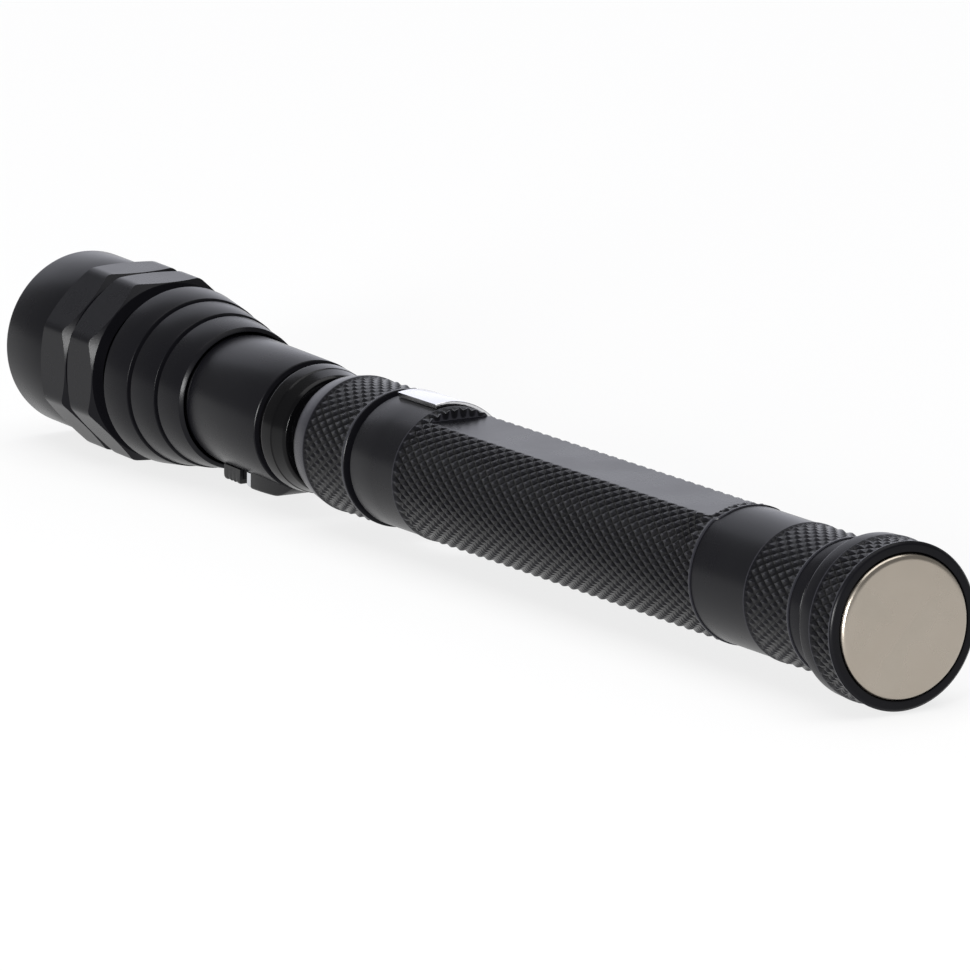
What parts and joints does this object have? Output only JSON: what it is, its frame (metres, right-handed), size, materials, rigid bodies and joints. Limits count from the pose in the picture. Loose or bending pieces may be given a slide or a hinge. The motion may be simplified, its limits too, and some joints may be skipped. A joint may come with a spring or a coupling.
{
  "type": "telescoping magnetic flashlight",
  "caption": "Slim telescoping flashlight with a tail magnet, knurled handle, pocket clip, flexible neck, slide switch and focusing head.",
  "frame": {"origin": "centre of the tail magnet's outer face", "axes": "+X along the handle from the tail magnet towards the lens, +Z out of the milled flat of the grip"},
  "size_m": [0.1698, 0.0198, 0.0203],
  "materials": {
    "anodised_aluminium": "turned, black anodised, satin",
    "knurled_aluminium": "diamond knurled, black anodised",
    "gloss_black": "gloss black",
    "black_plastic": "moulded, fine matte",
    "rubber": "matte",
    "nickel_plate": "nickel plated",
    "spring_steel": "polished spring steel",
    "steel": "plain",
    "chromed_tube": "chromed",
    "neck_coil": "blackened close-wound coil",
    "cell_steel": "nickel-plated can",
    "brass": "turned",
    "circuit_board": "solder mask",
    "white_board": "white solder mask on aluminium",
    "led": "phosphor under a clear dome",
    "white_plastic": "moulded",
    "lens_acrylic": "clear, polished"
  },
  "bodies": {
    "handle": {"handle_tube": "knurled_aluminium", "tail_cap": "knurled_aluminium", "tail_magnet": "nickel_plate", "magnet_back_plate": "steel", "tail_cap_seal": "rubber", "rear_plug": "black_plastic", "front_collar": "knurled_aluminium", "guide_bush": "black_plastic", "pocket_clip": "spring_steel"},
    "outer_tube": {"outer_tube": "chromed_tube", "outer_tube_stop": "black_plastic"},
    "second_tube": {"second_tube": "chromed_tube", "second_tube_stop": "black_plastic"},
    "third_tube": {"third_tube": "chromed_tube", "third_tube_stop": "black_plastic"},
    "inner_tube": {"inner_tube": "chromed_tube", "inner_tube_stop": "black_plastic"},
    "neck": {"neck_rear_ferrule": "steel", "flexible_neck": "neck_coil"},
    "head": {"battery_tube": "anodised_aluminium", "neck_front_ferrule": "steel", "neck_plug": "gloss_black", "switch_frame": "black_plastic", "switch_contact": "steel", "battery_sleeve": "white_plastic", "rear_contact": "brass", "button_cell_1": "cell_steel", "button_cell_2": "cell_steel", "button_cell_3": "cell_steel", "button_cell_4": "cell_steel", "heat_sink": "anodised_aluminium", "zoom_seal": "rubber", "contact_spring": "brass", "driver_board": "circuit_board", "led_pill": "brass", "led_board": "white_board", "led_emitter": "led"},
    "focus_sleeve": {"zoom_sleeve": "anodised_aluminium", "lens_seal": "rubber", "lens": "lens_acrylic", "lens_retainer": "anodised_aluminium"},
    "switch_button": {"switch_slider": "black_plastic"}
  },
  "joints": [
    {"name": "outer_tube_slide", "type": "slide", "parent": "handle", "child": "outer_tube", "axis": [1, 0, 0], "range_m": [0, 0.088]},
    {"name": "second_tube_slide", "type": "slide", "parent": "outer_tube", "child": "second_tube", "axis": [1, 0, 0], "range_m": [0, 0.088]},
    {"name": "third_tube_slide", "type": "slide", "parent": "second_tube", "child": "third_tube", "axis": [1, 0, 0], "range_m": [0, 0.088]},
    {"name": "inner_tube_slide", "type": "slide", "parent": "third_tube", "child": "inner_tube", "axis": [1, 0, 0], "range_m": [0, 0.088]},
    {"name": "neck_swivel", "type": "hinge", "parent": "inner_tube", "child": "neck", "pos_m": [0.0604, 0, 0], "axis": [1, 0, 0], "continuous": true},
    {"name": "neck_bend", "type": "hinge", "parent": "neck", "child": "head", "pos_m": [0.112, 0, 0], "axis": [0, -1, 0], "range_deg": [-15, 15]},
    {"name": "focus_slide", "type": "slide", "parent": "head", "child": "focus_sleeve", "axis": [0.9997, 0, 0.0262], "range_m": [-0.0024, 0.006]},
    {"name": "switch_slide", "type": "slide", "parent": "head", "child": "switch_button", "axis": [0.9997, 0, 0.0262], "range_m": [-0.0012, 0]}
  ]
}
